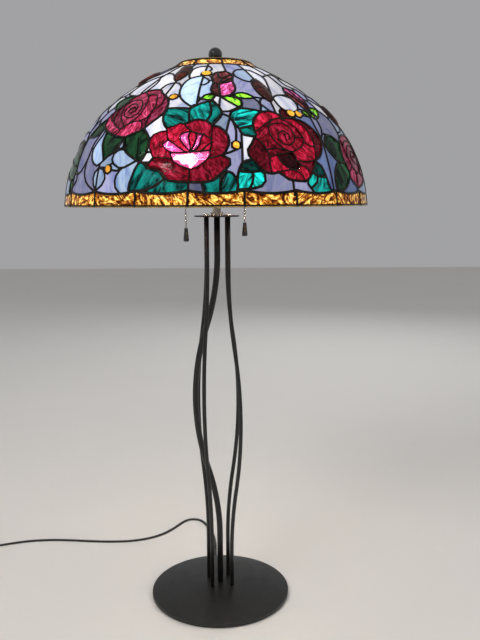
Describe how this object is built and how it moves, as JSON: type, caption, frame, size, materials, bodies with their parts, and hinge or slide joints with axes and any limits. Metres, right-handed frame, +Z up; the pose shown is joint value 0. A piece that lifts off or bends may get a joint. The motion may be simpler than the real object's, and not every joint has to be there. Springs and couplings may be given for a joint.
{
  "type": "table lamp",
  "caption": "Leaded glass dome table lamp with rose pattern, on a stem of bowed rods and a round base, with pull chains and a flat cord.",
  "frame": {"origin": "on the lamp's axis, on the surface that the base stands on", "axes": "+Z up along the stem; the lamp's front, with the large crimson rose, faces -Y; +X is to the right seen from the front"},
  "size_m": [0.7622, 0.5106, 0.8724],
  "materials": {
    "black_steel": "satin black powder coat",
    "felt": "pressed felt",
    "cast_iron": "rough cast",
    "nickel": "nickel plate, aged",
    "brass": "antiqued brass",
    "porcelain": "glazed inside",
    "black_gloss": "gloss",
    "bulb_glass": "frosted, lit",
    "cord_vinyl": "flexible vinyl",
    "plug_plastic": "moulded",
    "amber_glass": "rippled, lit from inside",
    "opal_glass": "streaky opalescent, lit from inside",
    "crimson_glass": "cathedral, lit from inside",
    "pink_glass": "streaky, lit from inside",
    "teal_glass": "mottled, lit from inside",
    "green_glass": "mottled, lit from inside",
    "jewel_glass": "pressed jewel",
    "lead": "dark patina on solder"
  },
  "bodies": {
    "stem": {"base_pad": "felt", "base_disc": "black_steel", "base_weight": "cast_iron", "rod_nuts": "nickel", "rod_washers": "nickel", "cord_bushing": "cord_vinyl", "rod_back_left": "black_steel", "rod_front_left": "black_steel", "rod_back_right": "black_steel", "rod_front_right": "black_steel", "centre_tube": "black_steel", "tube_wire": "cord_vinyl", "top_plate": "black_steel", "plate_screws": "nickel", "stem_collar": "nickel", "stem_pipe": "nickel", "cluster_body": "nickel", "shade_riser": "nickel", "riser_nut": "nickel", "holder_cap_left": "brass", "holder_cap_right": "brass", "holder_shell_left": "brass", "holder_shell_right": "brass", "holder_liner_left": "porcelain", "holder_liner_right": "porcelain", "switch_spout_left": "brass", "switch_spout_right": "brass", "cord": "cord_vinyl", "cord_coil": "cord_vinyl", "plug": "plug_plastic", "plug_pins": "nickel"},
    "pull_left": {"pull_chain_left": "nickel", "pull_knob_left": "black_gloss"},
    "pull_right": {"pull_chain_right": "nickel", "pull_knob_right": "black_gloss"},
    "bulb_left": {"bulb_glass_left": "bulb_glass", "bulb_base_left": "nickel"},
    "bulb_right": {"bulb_glass_right": "bulb_glass", "bulb_base_right": "nickel"},
    "shade": {"shade_rim": "brass", "crown_ring": "brass", "vented_cap": "brass", "cap_washer": "brass", "border_glass": "amber_glass", "crown_glass": "amber_glass", "ground_glass_1": "opal_glass", "ground_glass_2": "opal_glass", "ground_glass_3": "opal_glass", "ground_glass_4": "opal_glass", "ground_glass_5": "opal_glass", "rose_low_left": "crimson_glass", "rose_mid_right": "crimson_glass", "rose_high_left": "pink_glass", "rose_low_right": "pink_glass", "teal_leaf_glass": "teal_glass", "green_leaf_glass": "green_glass", "rosebud_glass": "pink_glass", "jewel_glass": "jewel_glass", "lead_lines": "lead"},
    "finial": {"finial": "black_gloss"}
  },
  "joints": [
    {"name": "pull_left", "type": "slide", "parent": "stem", "child": "pull_left", "axis": [0, 0, -1], "range_m": [0, 0.012], "stiffness_N_per_m": 150, "springref_m": -0.006},
    {"name": "pull_right", "type": "slide", "parent": "stem", "child": "pull_right", "axis": [0, 0, -1], "range_m": [0, 0.012], "stiffness_N_per_m": 150, "springref_m": -0.006},
    {"name": "bulb_left_turn", "type": "hinge", "parent": "stem", "child": "bulb_left", "pos_m": [0, 0, 0.656], "axis": [-0.7071, 0, 0.7071], "continuous": true},
    {"name": "bulb_right_turn", "type": "hinge", "parent": "stem", "child": "bulb_right", "pos_m": [0, 0, 0.656], "axis": [0.7071, 0, 0.7071], "continuous": true},
    {"name": "shade_turn", "type": "hinge", "parent": "stem", "child": "shade", "pos_m": [0, 0, 0.64], "axis": [0, 0, 1], "continuous": true},
    {"name": "finial_turn", "type": "hinge", "parent": "stem", "child": "finial", "pos_m": [0, 0, 0.86], "axis": [0, 0, 1], "continuous": true}
  ]
}
